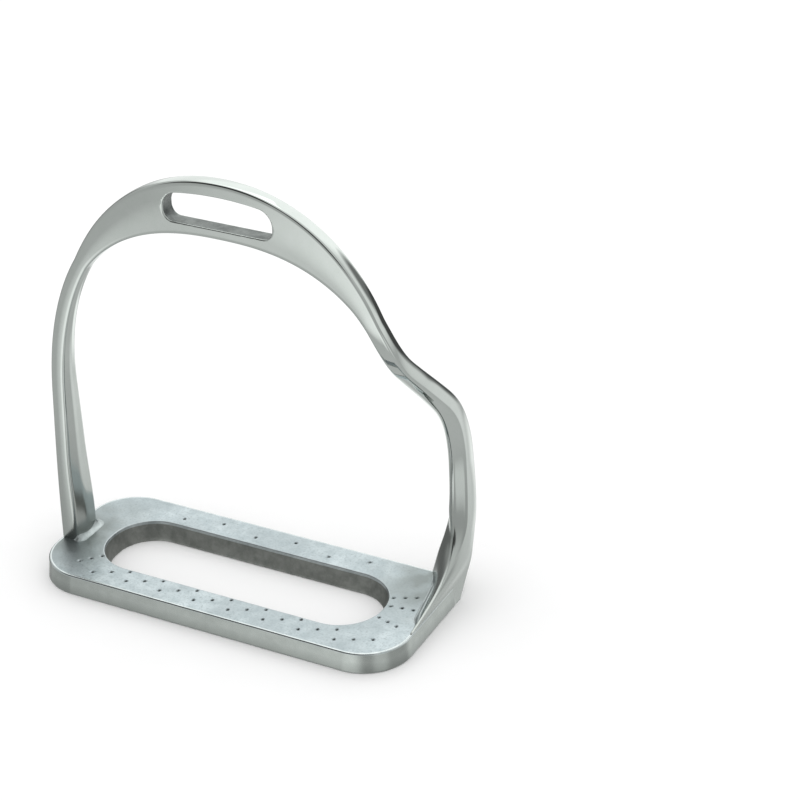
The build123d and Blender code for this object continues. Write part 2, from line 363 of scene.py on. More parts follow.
def section_points(corners, prow_sharpness, outer_crown):
    """Points round a section of seven (inwards, Y) corners: outer front, prow, inner front,
    root, the ridge on the inner side, inner back, outer back. The prow is blunt at a sharpness
    of 0 and rounded like the edges at 1. The outer side bulges by a share of its width."""
    front_width = (corners[2] - corners[0]).length
    radius = min(EDGE_RADIUS, front_width * EDGE_LIMIT)
    prow_reach = lerp(front_width * BLUNT_PROW, radius, prow_sharpness)
    before_root, before_ridge, before_back = [
        (corners[index + 1] - corners[index]).length for index in (2, 3, 4)]
    root_reach = min(before_root, before_ridge) * ROUNDING_LIMIT
    ridge_reach = min(before_ridge, before_back) * ROUNDING_LIMIT
    reaches = (radius, prow_reach, radius, root_reach, ridge_reach, radius, radius)
    counts = (EDGE_POINTS,) * 3 + (RIDGE_POINTS,) * 2 + (EDGE_POINTS,) * 2
    crowns = (0, 0, 0, 0, 0, FACE_CROWN, outer_crown)
    rounds = []
    for index, corner in enumerate(corners):
        before = corners[index - 1]
        after = corners[(index + 1) % len(corners)]
        rounds.append(rounded_corner(before, corner, after, reaches[index], counts[index]))
    points = []
    for index, bend in enumerate(rounds):
        start = bend[-1]
        end = rounds[(index + 1) % len(rounds)][0]
        run = end - start
        outward = Vector((run.y, -run.x)).normalized()
        points += bend
        for step in range(1, RUN_POINTS[index]):
            t = step / RUN_POINTS[index]
            bulge = crowns[index] * run.length * 4 * t * (1 - t)
            points.append(start + run * t + outward * bulge)
    return points


def twist_at(side, z):
    return fade(z, TWIST_GROWTH) - fade(z, TWIST_FADING) if side == BENT else 0.0


def square_ring(side, centre, along, thick):
    """The section square to the centre line, placed in space."""
    outward = along.cross(Vector((0, 1, 0))).normalized()
    backward = outward.cross(along).normalized()
    half_depth = depth_at(side, centre.z) / 2
    twist = twist_at(side, centre.z)
    back = half_depth + BACK_TWIST * twist
    inner_front = Vector((thick, -half_depth)) + INNER_FRONT_TWIST * twist
    ridge = Vector((thick + ridge_at(centre.z), INNER_FRONT_TWIST.y * twist))
    outline = section_points((
        Vector((0, -half_depth)) + OUTER_FRONT_TWIST * twist,
        Vector((thick * PROW_SHARE, -half_depth - PROW_CROWN * thick)) + PROW_TWIST * twist,
        inner_front,
        lerp(inner_front, ridge, 0.5),
        ridge,
        Vector((thick, back)),
        Vector((0, back)),
    ), twist, OUTER_CROWN)
    origin = centre + outward * (thick / 2)
    return [origin - outward * inward + backward * y for inward, y in outline]


def bent_foot_corners(z):
    """(outer X, corners) of the bent leg's level section."""
    centre = leg_point(BENT, z)
    thick = leg_thickness_at(z)
    outer_x = centre.x + thick / 2
    wall_x = TREAD_LENGTH / 2 + TREAD_FLARE * (1 - min(z, TREAD_TOP) / TREAD_TOP) + FLUSH_PROUD
    outer_x = lerp(outer_x, wall_x, fade(z, FLUSHING)) - FLUSH_SINK * fade(z, FLUSH_ENDING)
    half_depth = depth_at(BENT, z) / 2
    twist = twist_at(BENT, z)
    sweep = min(max(0.0, FLARE_TOP - z) / (FLARE_TOP - TREAD_TOP), 1.0)
    front = centre.y - half_depth - FLARE_REACH * sweep**FLARE_POWER
    back = centre.y + half_depth + BACK_TWIST * twist - FOOT_TUCK_BY * fade(z, FOOT_TUCK)
    front_thickness = lerp(thick, FLARE_TIP_THICKNESS, fade(z, FLARE_THINNING))
    inner_front = Vector((front_thickness, front)) + INNER_FRONT_TWIST * twist
    swollen = thick + ridge_at(z) + FOOT_SPREAD_BY * fade(z, FOOT_SPREAD)
    ridge = Vector((swollen, centre.y + INNER_FRONT_TWIST.y * twist))
    root = Vector((FLARE_ROOT_THICKNESS, centre.y - half_depth * FLARE_ROOT_SHIFT))
    return outer_x, (
        Vector((FLARE_TIP_SINK * sweep**4, front)) + OUTER_FRONT_TWIST * twist,
        Vector((front_thickness * PROW_SHARE, front)) + PROW_TWIST * twist,
        inner_front,
        lerp(lerp(inner_front, ridge, 0.5), root, sweep**2),
        ridge,
        Vector((thick + HEEL_SPREAD_BY * fade(z, HEEL_SPREAD), back)),
        Vector((0, back)),
    )


def level_ring(z):
    outer_x, corners = bent_foot_corners(z)
    outline = section_points(corners, 1.0, OUTER_CROWN * (1 - fade(z, FLUSHING)))
    return [Vector((outer_x - inward, y, z)) for inward, y in outline]


def bow_rings():
    stations = bow_stations()
    rings = []
    for index, (side, centre, thick) in enumerate(stations):
        before = stations[max(index - 1, 0)][1]
        after = stations[min(index + 1, len(stations) - 1)][1]
        ring = square_ring(side, centre, (after - before).normalized(), thick)
        level = fade(centre.z, LEVELLING) if side == BENT else 0.0
        if level > 0:
            ring = [lerp(a, b, level) for a, b in zip(ring, level_ring(centre.z))]
        rings.append(ring)
    return rings


# ---- leather eye --------------------------------------------------------------------------
EYE_ARC_STEPS = 14
EYE_RUN_STEPS = 26
MOUTH_ROWS = 7
MOUTH_TURN = 72                          # degrees through which a mouth is rounded
MOUTH_FLARE = 3.5                        # mouth radii by which the cutter is widest, outside


def eye_outline():
    """(x, z) round the eye: a rounded rectangle whose upper side is arched."""
    half = EYE_LENGTH / 2
    shoulder = EYE_HEIGHT - EYE_CROWN
    corners = (
        (half, 0.0, EYE_LOW_RADIUS, -90),
        (half, shoulder, EYE_HIGH_RADIUS, 0),
        (-half, shoulder, EYE_HIGH_RADIUS, 90),
        (-half, 0.0, EYE_LOW_RADIUS, 180),
    )
    outline = []
    for x, z, radius, start in corners:
        centre = Vector((x - radius * np.sign(x), z + (radius if z == 0 else -radius)))
        for step in range(EYE_ARC_STEPS + 1):
            angle = radians(start + 90 * step / EYE_ARC_STEPS)
            outline.append(centre + radius * Vector((cos(angle), sin(angle))))
        if start in (0, 180):
            direction = -1 if start == 0 else 1
            length = EYE_LENGTH - 2 * radius
            end = outline[-1]
            for step in range(1, EYE_RUN_STEPS):
                outline.append(end + Vector((direction * length * step / EYE_RUN_STEPS, 0)))
    for point in outline:
        point.y += EYE_CROWN * (1 - (point.x / half) ** 2) * point.y / shoulder
    return outline


def eye_cutter():
    """The eye's solid, flaring at both mouths so that they come out rounded."""
    outline = eye_outline()
    count = len(outline)
    outward = []
    for index in range(count):
        run = outline[(index + 1) % count] - outline[index - 1]
        outward.append(Vector((run.y, -run.x)).normalized())
    face = BOW_DEPTH / 2 + FACE_CROWN * CROWN_HEIGHT
    mouth = []
    for angle in np.linspace(0, MOUTH_TURN, MOUTH_ROWS):
        depth = face - EYE_MOUTH_RADIUS * (1 - sin(radians(angle)))
        mouth.append((depth, EYE_MOUTH_RADIUS * (1 - cos(radians(angle)))))
    mouth.append((face + EYE_MOUTH_RADIUS, EYE_MOUTH_RADIUS * MOUTH_FLARE))
    profile = [(-y, grow) for y, grow in reversed(mouth)] + [(0.0, 0.0)] + mouth
    rings = []
    for y, grow in profile:
        ring = []
        for point, normal in zip(outline, outward):
            x, z = point + normal * grow
            ring.append((x, BOW_Y + y, EYE_FLOOR + z))
        rings.append(ring)
    mesh = facing_out(grid_mesh("eye_cutter", rings, ring_joins_first=False))
    cutter = bpy.data.objects.new("eye_cutter", mesh)
    bpy.context.scene.collection.objects.link(cutter)
    return cutter


def cut(piece, cutter):
    """Takes the cutter's solid out of the piece, and removes the cutter."""
    modifier = piece.modifiers.new("cut", "BOOLEAN")
    modifier.operation = "DIFFERENCE"
    modifier.solver = "EXACT"
    modifier.object = cutter
    shown = piece.evaluated_get(bpy.context.evaluated_depsgraph_get())
    mesh = bpy.data.meshes.new_from_object(shown)
    piece.modifiers.clear()
    piece.data = mesh
    bpy.data.objects.remove(cutter)


def inside_eye(point):
    """Whether a face is on the eye's wall, short of the rounding at its mouths."""
    margin = 0.1 * EYE_MOUTH_RADIUS
    mouth = 0.6 * EYE_MOUTH_RADIUS
    across = abs(point.x) < EYE_LENGTH / 2 + margin
    upright = EYE_FLOOR - margin < point.z < EYE_FLOOR + EYE_HEIGHT + margin
    return across and upright and abs(point.y - BOW_Y) < BOW_DEPTH / 2 - mouth


def make_bow(polished, eye_wall):
    mesh = facing_out(grid_mesh("iron_bow", bow_rings(), ring_joins_first=False))
    piece = add_object("iron_bow", mesh, (polished, eye_wall))
    cut(piece, eye_cutter())
    for face in piece.data.polygons:
        face.use_smooth = True
        face.material_index = 1 if inside_eye(face.center) else 0
    normals = piece.modifiers.new("even_normals", "WEIGHTED_NORMAL")
    normals.mode = "FACE_AREA_WITH_ANGLE"
    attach(piece, ROOT)
    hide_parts("bow")
    return piece


# ---- tread --------------------------------------------------------------------------------
def rounded_plan(length, width, radii, end_steps, side_steps, arc_steps):
    """(point, outward) round a rectangle, from the +X -Y corner and anticlockwise. The corners'
    radii go the same way, and each part has its own number of steps."""
    corners = ((1, -1, -90), (1, 1, 0), (-1, 1, 90), (-1, -1, 180))
    arcs = []
    for (x, y, start), radius in zip(corners, radii):
        centre = Vector((x * (length / 2 - radius), y * (width / 2 - radius)))
        arc = []
        for step in range(arc_steps + 1):
            angle = radians(start + 90 * step / arc_steps)
            outward = Vector((cos(angle), sin(angle)))
            arc.append((centre + outward * radius, outward))
        arcs.append(arc)
    plan = []
    for index, arc in enumerate(arcs):
        steps = end_steps if index % 2 == 0 else side_steps
        following = arcs[(index + 1) % len(arcs)][0][0]
        point, outward = arc[-1]
        plan += arc
        for step in range(1, steps):
            plan.append((lerp(point, following, step / steps), outward))
    return plan


def pit_places():
    step_x, step_y = PIT_STEP
    for row in range(FRONT_ROW_COUNT):
        start_x = (row - (FRONT_ROW_COUNT - 1) / 2) * FRONT_ROW_PITCH
        for pit in range(3):
            yield start_x + pit * step_x, FRONT_ROW_Y + pit * step_y
    for pit in range(BACK_PIT_COUNT):
        yield (pit - (BACK_PIT_COUNT - 1) / 2) * BACK_PIT_PITCH, BACK_PIT_Y[pit % 2]
    for end, angle in END_ROWS:
        for radius in END_ROW_RADII:
            x = end * (SLOT_LENGTH / 2 - SLOT_CORNER) + radius * cos(radians(angle))
            yield x, radius * sin(radians(angle))


def arc_steps_of(count):
    return [pi / 2 * step / count for step in range(count + 1)]


def tread_profile():
    """Rows from the underside's middle out, up the wall, over the top and down the slot, each as
    (share of the way from the outer outline to the slot's, let out, height, finish)."""
    rows = []
    for share in (0.75, 0.5, 0.25):
        rows.append((share, 0.0, 0.0, "underside"))
    for angle in arc_steps_of(4):
        grow = TREAD_FLARE - TREAD_BASE_EDGE * (1 - sin(angle))
        rows.append((0.0, grow, TREAD_BASE_EDGE * (1 - cos(angle)), "wall"))
    wall_rows = 12
    for row in range(1, wall_rows):
        t = row / wall_rows
        z = lerp(TREAD_BASE_EDGE, TREAD_TOP - TREAD_RIM, t)
        rows.append((0.0, TREAD_FLARE * (1 - t), z, "wall"))
    for angle in arc_steps_of(6):
        z = TREAD_TOP - TREAD_RIM * (1 - sin(angle))
        rows.append((0.0, -TREAD_RIM * (1 - cos(angle)), z, "rim"))
    top_rows = 46
    for row in range(1, top_rows):
        rows.append((row / top_rows, 0.0, TREAD_TOP, "top"))
    for angle in reversed(arc_steps_of(6)):
        z = TREAD_TOP - SLOT_RIM * (1 - sin(angle))
        rows.append((1.0, -SLOT_RIM * (1 - cos(angle)), z, "slot_edge"))
    slot_rows = 10
    for row in range(1, slot_rows):
        t = row / slot_rows
        z = lerp(TREAD_TOP - SLOT_RIM, TREAD_BASE_EDGE, t)
        rows.append((1.0, SLOT_DRAFT * t, z, "slot"))
    for angle in reversed(arc_steps_of(4)):
        grow = SLOT_DRAFT - TREAD_BASE_EDGE * (1 - sin(angle))
        rows.append((1.0, grow, TREAD_BASE_EDGE * (1 - cos(angle)), "slot"))
    return rows


TREAD_FINISHES = {"top": 0, "rim": 1, "wall": 2, "slot": 3, "slot_edge": 4, "underside": 5}
PIT_FULLNESS = 1.2                       # exponent of a pit's bowl
PIT_LIP = 0.05 * MM                      # height of the metal raised round a pit
UNEVEN_END = 1 / 12                      # of the bar, beside each rim, where the top evens out
# unevenness of each finish: (height, size of the lumps, seed)
TOP_LUMPS = ((0.035 * MM, 2.2 * MM, 3), (0.03 * MM, 7 * MM, 5))
WALL_LUMPS = ((0.03 * MM, 9 * MM, 11),)
SLOT_LUMPS = ((0.05 * MM, 3 * MM, 17), (0.05 * MM, 11 * MM, 19))
RIM_LUMPS = ((0.03 * MM, 6 * MM, 23),)


def pitted(x, y, pits):
    """How deep the pits are at a place on the top, and where the metal is raised round them."""
    nearest = np.min(np.hypot(pits[:, 0] - x, pits[:, 1] - y)) / PIT_RADIUS
    if nearest < 1:
        return -PIT_DEPTH * (1 - nearest**2) ** PIT_FULLNESS
    return PIT_LIP * max(0.0, 1 - (nearest - 1) * 2)


def uneven(point, lumps):
    return sum(height * bumpy(point, size, seed) for height, size, seed in lumps)


def tread_place(row, rim, slot):
    """Where a row of the profile lies in plan, between the outer outline and the slot's."""
    share, grow, _, finish = row
    rim_point, rim_out = rim
    slot_point, slot_out = slot
    if share == 0:
        return rim_point + rim_out * grow
    if share == 1:
        return slot_point - slot_out * grow
    inset = TREAD_RIM if finish == "top" else -TREAD_FLARE + TREAD_BASE_EDGE
    slot_inset = SLOT_RIM if finish == "top" else -SLOT_DRAFT + TREAD_BASE_EDGE
    return lerp(rim_point - rim_out * inset, slot_point + slot_out * slot_inset, share)


def weathered(point, row, rim_out, slot_out, pits):
    """The point moved by the unevenness of its finish, and by the pits."""
    share, _, z, finish = row
    if finish == "top":
        evened = min(min(share, 1 - share) / UNEVEN_END, 1.0)
        point.z += uneven(point, TOP_LUMPS) * evened + pitted(point.x, point.y, pits)
    elif finish == "wall":
        point += rim_out.to_3d() * uneven(point, WALL_LUMPS) * min(z / MM, 1)
    elif finish == "slot":
        point += slot_out.to_3d() * uneven(point, SLOT_LUMPS)
    elif finish in ("rim", "slot_edge"):
        point.z += uneven(point, RIM_LUMPS)
    return point


def make_tread(finishes):
    steps = {"end_steps": 84, "side_steps": 350, "arc_steps": 84}
    corners = (TREAD_CORNER, TREAD_FOOT_CORNER, TREAD_CORNER, TREAD_CORNER)
    outer = rounded_plan(TREAD_LENGTH, TREAD_WIDTH, corners, **steps)
    inner = rounded_plan(SLOT_LENGTH, SLOT_WIDTH, (SLOT_CORNER,) * 4, **steps)
    pits = np.array(list(pit_places()))
    profile = tread_profile()
    rings = []
    for row in profile:
        ring = []
        for rim, slot in zip(outer, inner):
            place = tread_place(row, rim, slot)
            point = Vector((place.x, place.y, row[2]))
            ring.append(weathered(point, row, rim[1], slot[1], pits))
        rings.append(ring)
    row_materials = [TREAD_FINISHES[finish] for _, _, _, finish in profile]
    mesh = facing_out(grid_mesh("iron_tread", rings, True, row_materials))
    piece = add_object("iron_tread", mesh, finishes)
    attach(piece, ROOT)
    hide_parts("tread")
    return piece


# ---- welds --------------------------------------------------------------------------------
def even_path(corners, spacing):
    """Evenly spaced points along straight runs."""
    path = []
    for start, end in zip(corners, corners[1:]):
        count = max(1, round((end - start).length / spacing))
        path += [lerp(start, end, step / count) for step in range(count)]
    return path + [corners[-1]]


def smoothed(path, passes):
    """The path with its corners eased, its ends kept."""
    for _ in range(passes):
        inner = [(a + b * 2 + c) / 4 for a, b, c in zip(path, path[1:], path[2:])]
        path = [path[0]] + inner + [path[-1]]
    return path


def bead_mesh(name, path, width, rise, seed):
    """A strip of weld metal, hollow like a fillet, whose path runs round the foot of a leg with
    the leg on its left. Its ends taper off."""
    profile_steps = 14
    rings = []
    for index, place in enumerate(path):
        run = path[min(index + 1, len(path) - 1)] - path[max(index - 1, 0)]
        away = Vector((run.y, -run.x)).normalized()
        share = index / (len(path) - 1)
        taper = fade(-min(share, 1 - share), (0.0, -BEAD_TAPER))
        ring = [(*(place - away * WELD_BITE), TREAD_TOP - WELD_SINK)]
        for step in range(profile_steps + 1):
            turn = pi / 2 * step / profile_steps
            spread = width * (1 - sin(turn)) * taper
            lift = rise * (1 - cos(turn)) * taper
            point = Vector((*(place + away * spread), TREAD_TOP + lift))
            lump = bumpy(point, LUMP_SIZE, seed)
            lump += 0.3 * bumpy(point, SMALL_LUMP_SIZE, seed + 1)
            middle = sin(pi * step / profile_steps)
            point += Vector((away.x, away.y, 0.8)) * WELD_LUMP * (lump + 0.9) * middle * taper
            ring.append(tuple(point))
        low = place + away * width * taper
        ring.insert(1, (*low, TREAD_TOP - WELD_SINK))
        ring.append((*(place - away * WELD_BITE), TREAD_TOP + rise * taper))
        rings.append(ring)
    return facing_out(grid_mesh(name, rings, ring_joins_first=False))


def make_inner_weld(metal):
    """Round three sides of the straight leg's foot."""
    half = depth_at(STRAIGHT, TREAD_TOP) / 2
    outer = -LEG_OUTER_X + INNER_WELD_END
    inner = -LEG_OUTER_X + leg_thickness_at(TREAD_TOP)
    corners = [
        Vector((inner - INNER_WELD_START, BOW_Y - half)),
        Vector((inner, BOW_Y - half)),
        Vector((inner, BOW_Y + half)),
        Vector((outer, BOW_Y + half)),
    ]
    path = smoothed(even_path(corners, BEAD_SPACING), 12)
    mesh = bead_mesh("iron_inner_weld", path, WELD_SIZE, WELD_RISE, seed=31)
    piece = add_object("iron_inner_weld", mesh, (metal,))
    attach(piece, ROOT)
    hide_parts("inner_leg_weld")
    return piece


def make_outer_weld(metal):
    """Along the inner side of the bent leg's foot, from the heel to near the flare's tip."""
    outer_x, foot = bent_foot_corners(TREAD_TOP)
    front, root, ridge = [Vector((outer_x - inward, y)) for inward, y in foot[2:5]]
    start = lerp(root, ridge, OUTER_WELD_START)
    corners = [start, root, front + Vector((0, OUTER_WELD_SETBACK))]
    path = smoothed(even_path(corners, BEAD_SPACING), 10)
    mesh = bead_mesh("iron_outer_weld", path, FLARE_WELD_SIZE, FLARE_WELD_RISE, seed=43)
    piece = add_object("iron_outer_weld", mesh, (metal,))
    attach(piece, ROOT)
    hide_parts("outer_leg_weld")
    return piece


# ---- materials ----------------------------------------------------------------------------
WELD_MIDDLES = ((-62 * MM, BOW_Y, TREAD_TOP), (62 * MM, 20 * MM, TREAD_TOP))
# the tread's top is darker, mottled, round the legs' feet, out to this distance
DARKENING_REACH = 27 * MM
NEAR_WELD_DARK_STEEL = (0.24, 0.265, 0.26)
# painted shade in the grip pits
PIT_PAINTED_SHADE = (0.06, 0.07, 0.07)
SATIN_AND_SHADE_HEIGHTS = (7 * MM, 55 * MM)        # the bow's polish grows, and the shade painted on its lower legs fades, between these heights
SATIN_ROUGHNESS = 0.24
FOOT_PAINTED_SHADE = 0.72                       # of the finish's darker colour, here and below; here a shade painted on the bow's lower legs
WALL_SHADE_HEIGHTS = (-1 * MM, 4 * MM)         # the walls' colour is darkened towards the floor, a painted shade
WALL_PAINTED_SHADE = 0.62
SPECK_SHADE = 0.4
PATCH_SHADE = 0.72
# how fine each pattern is, in lumps per metre
WAVE_SCALE = 45.0
PATCH_SCALE = 60.0
SMEAR_SCALE = 90.0
NEAR_WELD_MOTTLE_SCALE = 130.0
STAIN_SCALE = 260.0
GRAIN_SCALE = 900.0
SPECK_SCALE = 1300.0
FINE_GRAIN_SCALE = 3200.0
SCRATCH_STRETCH = (90.0, 2600.0, 1.0)    # along the piece, around it


def new_material(name, roughness):
    material = bpy.data.materials.new(name)
    material.use_nodes = True
    tree = material.node_tree
    shader = tree.nodes["Principled BSDF"]
    shader.inputs["Metallic"].default_value = 1.0
    shader.inputs["Roughness"].default_value = roughness
    return material, tree, shader


def noise_field(tree, scale, detail=3.0, stretch=None, rough=0.5):
    """Noise over the object, in lumps per metre, or over the UV map if stretched."""
    source = tree.nodes.new("ShaderNodeTexCoord")
    place = source.outputs["Object"]
    if stretch:
        mapping = tree.nodes.new("ShaderNodeMapping")
        mapping.inputs["Scale"].default_value = stretch
        tree.links.new(source.outputs["UV"], mapping.inputs["Vector"])
        place = mapping.outputs["Vector"]
    field = tree.nodes.new("ShaderNodeTexNoise")
    field.inputs["Scale"].default_value = scale
    field.inputs["Detail"].default_value = detail
    field.inputs["Roughness"].default_value = rough
    tree.links.new(place, field.inputs["Vector"])
    return field.outputs["Fac"]


def ramp(tree, value, stops):
    """Colours between stops, each (place, colour)."""
    node = tree.nodes.new("ShaderNodeValToRGB")
    node.color_ramp.elements.remove(node.color_ramp.elements[0])
    first = node.color_ramp.elements[0]
    first.position = stops[0][0]
    first.color = (*stops[0][1], 1)
    for place, colour in stops[1:]:
        node.color_ramp.elements.new(place).color = (*colour, 1)
    tree.links.new(value, node.inputs["Fac"])
    return node.outputs["Color"]


def tinted(grey):
    """A grey with the faint green of the studio's light."""
    return (grey * 0.99, grey * 1.01, grey)


def shaded(colour, shade):
    return tuple(channel * shade for channel in colour)


def remap(tree, value, low, high, to_low, to_high):
    node = tree.nodes.new("ShaderNodeMapRange")
    node.inputs["From Min"].default_value = low
    node.inputs["From Max"].default_value = high
    node.inputs["To Min"].default_value = to_low
    node.inputs["To Max"].default_value = to_high
    tree.links.new(value, node.inputs["Value"])
    return node.outputs["Result"]


def mixed(tree, mask, first, second, mode="MIX"):
    """Colour first where the mask is 0, second where it is 1."""
    node = tree.nodes.new("ShaderNodeMix")
    node.data_type = "RGBA"
    node.blend_type = mode
    tree.links.new(mask, node.inputs["Factor"])
    for name, colour in (("A", first), ("B", second)):
        socket = next(i for i in node.inputs if i.name == name and i.type == "RGBA")
        if isinstance(colour, tuple):
            socket.default_value = (*colour, 1)
        else:
            tree.links.new(colour, socket)
    return next(o for o in node.outputs if o.type == "RGBA")


def bumps(tree, shader, layers):
    """Stacks height fields, each (field, height in metres)."""
    normal = None
    for field, height in layers:
        node = tree.nodes.new("ShaderNodeBump")
        node.inputs["Strength"].default_value = 1.0
        node.inputs["Distance"].default_value = height
        tree.links.new(field, node.inputs["Height"])
        if normal:
            tree.links.new(normal, node.inputs["Normal"])
        normal = node.outputs["Normal"]
    tree.links.new(normal, shader.inputs["Normal"])


def near_welds(tree, reach):
    """1 at the welds, fading to 0 at a distance."""
    place = tree.nodes.new("ShaderNodeTexCoord").outputs["Object"]
    masks = []
    for weld in WELD_MIDDLES:
        distance = tree.nodes.new("ShaderNodeVectorMath")
        distance.operation = "DISTANCE"
        distance.inputs[1].default_value = weld
        tree.links.new(place, distance.inputs[0])
        masks.append(remap(tree, distance.outputs["Value"], reach * 0.3, reach, 1.0, 0.0))
    both = tree.nodes.new("ShaderNodeMath")
    both.operation = "MAXIMUM"
    tree.links.new(masks[0], both.inputs[0])
    tree.links.new(masks[1], both.inputs[1])
    return both.outputs["Value"]


def lift_to(tree, mask, value, goal):
    """The value where the mask is 0, the goal where it is 1."""
    node = tree.nodes.new("ShaderNodeMix")
    node.data_type = "FLOAT"
    tree.links.new(mask, node.inputs["Factor"])
    tree.links.new(value, node.inputs["A"])
    node.inputs["B"].default_value = goal
    return node.outputs["Result"]


def product(tree, first, second):
    node = tree.nodes.new("ShaderNodeMath")
    node.operation = "MULTIPLY"
    tree.links.new(first, node.inputs[0])
    tree.links.new(second, node.inputs[1])
    return node.outputs["Value"]


def height_mask(tree, low, high):
    """1 below a height, 0 above another."""
    place = tree.nodes.new("ShaderNodeTexCoord").outputs["Object"]
    parts = tree.nodes.new("ShaderNodeSeparateXYZ")
    tree.links.new(place, parts.inputs["Vector"])
    return remap(tree, parts.outputs["Z"], low, high, 1.0, 0.0)


def steel(name, dark, light, rough, scratch=0.0, wave=0.0, grain=0.0, specks=0.0,
          tread_top=False, satin_shaded_foot=False, shaded_wall_foot=False):
    """Bare stainless steel. Colours and roughness each vary between two values. Scratches run
    along the piece, waves are the slight unevenness of a polished face, grain is a rough one's."""
    material, tree, shader = new_material(name, rough[0])
    stain = noise_field(tree, STAIN_SCALE, detail=5.0, rough=0.65)
    colour = ramp(tree, stain, [(0.36, dark), (0.62, light)])
    if specks:
        spots = noise_field(tree, SPECK_SCALE, detail=3.0, rough=0.6)
        mask = remap(tree, spots, 0.5, 0.7, 0.0, specks)
        colour = mixed(tree, mask, colour, shaded(dark, SPECK_SHADE))
    if tread_top:
        patches = remap(tree, noise_field(tree, PATCH_SCALE, detail=3.0), 0.4, 0.62, 0.0, 0.45)
        colour = mixed(tree, patches, colour, shaded(dark, PATCH_SHADE))
        # the top darkens, mottled, round the legs' feet
        near_weld_dark = remap(tree, noise_field(tree, NEAR_WELD_MOTTLE_SCALE, detail=4.0), 0.3, 0.6, 0.35, 0.95)
        near_weld_dark = product(tree, near_weld_dark, near_welds(tree, DARKENING_REACH))
        colour = mixed(tree, near_weld_dark, colour, NEAR_WELD_DARK_STEEL)
        # painted shade: the pits' floors are darkened by depth
        pit_shade_mask = height_mask(tree, TREAD_TOP - PIT_DEPTH * 0.7, TREAD_TOP - PIT_DEPTH * 0.3)
        colour = mixed(tree, pit_shade_mask, colour, PIT_PAINTED_SHADE)
    # painted shade: the bow's lower legs and the walls' feet are darkened by height
    for used, heights_of, shade in (
            (satin_shaded_foot, SATIN_AND_SHADE_HEIGHTS, FOOT_PAINTED_SHADE), (shaded_wall_foot, WALL_SHADE_HEIGHTS, WALL_PAINTED_SHADE)):
        if used:
            low = height_mask(tree, *heights_of)
            colour = mixed(tree, low, colour, shaded(dark, shade))
    tree.links.new(colour, shader.inputs["Base Color"])
    smear = noise_field(tree, SMEAR_SCALE, detail=4.0, rough=0.7)
    roughness = remap(tree, smear, 0.3, 0.7, rough[0], rough[1])
    if satin_shaded_foot:
        foot = height_mask(tree, *SATIN_AND_SHADE_HEIGHTS)
        roughness = lift_to(tree, foot, roughness, SATIN_ROUGHNESS)
    tree.links.new(roughness, shader.inputs["Roughness"])
    layers = []
    if wave:
        layers.append((noise_field(tree, WAVE_SCALE, detail=1.0), wave))
    if scratch:
        scratches = noise_field(tree, 1.0, detail=3.0, stretch=SCRATCH_STRETCH)
        layers.append((scratches, scratch))
    if grain:
        layers.append((noise_field(tree, GRAIN_SCALE, detail=6.0, rough=0.65), grain))
        layers.append((noise_field(tree, FINE_GRAIN_SCALE, detail=2.0), grain * 0.25))
    bumps(tree, shader, layers)
    return material


def make_materials():
    return {
        # its lower legs are satin, rougher, and darker by a painted shade
        "polished": steel(
            "polished_steel", (0.605, 0.64, 0.615), (0.625, 0.655, 0.635), (0.04, 0.08),
            scratch=0.0005 * MM, wave=0.05 * MM, satin_shaded_foot=True),
        "eye_wall": steel(
            "eye_wall", (0.13, 0.14, 0.137), (0.22, 0.235, 0.228), (0.34, 0.46),
            scratch=0.01 * MM, grain=0.08 * MM),
        "top": steel(
            "cast_top", (0.45, 0.51, 0.53), (0.57, 0.63, 0.65), (0.36, 0.46),
            grain=0.05 * MM, specks=0.4, tread_top=True),
        "rim": steel(
            "bright_rim", (0.56, 0.61, 0.61), (0.66, 0.70, 0.70), (0.14, 0.22),
            scratch=0.004 * MM, wave=0.03 * MM),
        # its colour darkens towards the floor, a painted shade
        "wall": steel(
            "satin_wall", (0.43, 0.46, 0.44), (0.47, 0.50, 0.48), (0.16, 0.24),
            scratch=0.003 * MM, wave=0.04 * MM, shaded_wall_foot=True),
        "slot": steel(
            "cast_slot", (0.20, 0.208, 0.196), (0.29, 0.298, 0.282), (0.40, 0.52),
            scratch=0.01 * MM, grain=0.06 * MM),
        "slot_edge": steel(
            "slot_edge", (0.40, 0.44, 0.45), (0.52, 0.56, 0.57), (0.28, 0.38),
            scratch=0.01 * MM, grain=0.03 * MM),
        "underside": steel(
            "cast_underside", (0.36, 0.39, 0.38), (0.44, 0.47, 0.46), (0.38, 0.48),
            grain=0.06 * MM, specks=0.35),
        "weld": steel(
            "weld_metal", (0.36, 0.40, 0.40), (0.47, 0.51, 0.51), (0.28, 0.4),
            grain=0.015 * MM, specks=0.2),
    }


# ---- studio -------------------------------------------------------------------------------
FLOOR_HALF = 3.0
FLOOR_ALBEDO = 0.93
FLOOR_SINK = 0.1 * MM                    # the floor lies this far under the iron
LIGHT_LEVEL = 1.09
OVERHEAD_PLACE = (-0.25, 0.35, 0.9)
OVERHEAD_AIM = (0, 0, 0.05)
OVERHEAD_SIZE = (0.7, 0.5)
OVERHEAD_POWER = 0.5                     # watts
CAMERA_PLACE = Vector((0.34213, -0.55153, 0.42760))
CAMERA_AHEAD = Vector((-0.4000, 0.7787, -0.4834))
CAMERA_ROLL = radians(1.0)
CAMERA_LENS = 105.03                     # millimetres, like the sensor's width
CAMERA_SENSOR = 36.0
CAMERA_CLIP = 0.01


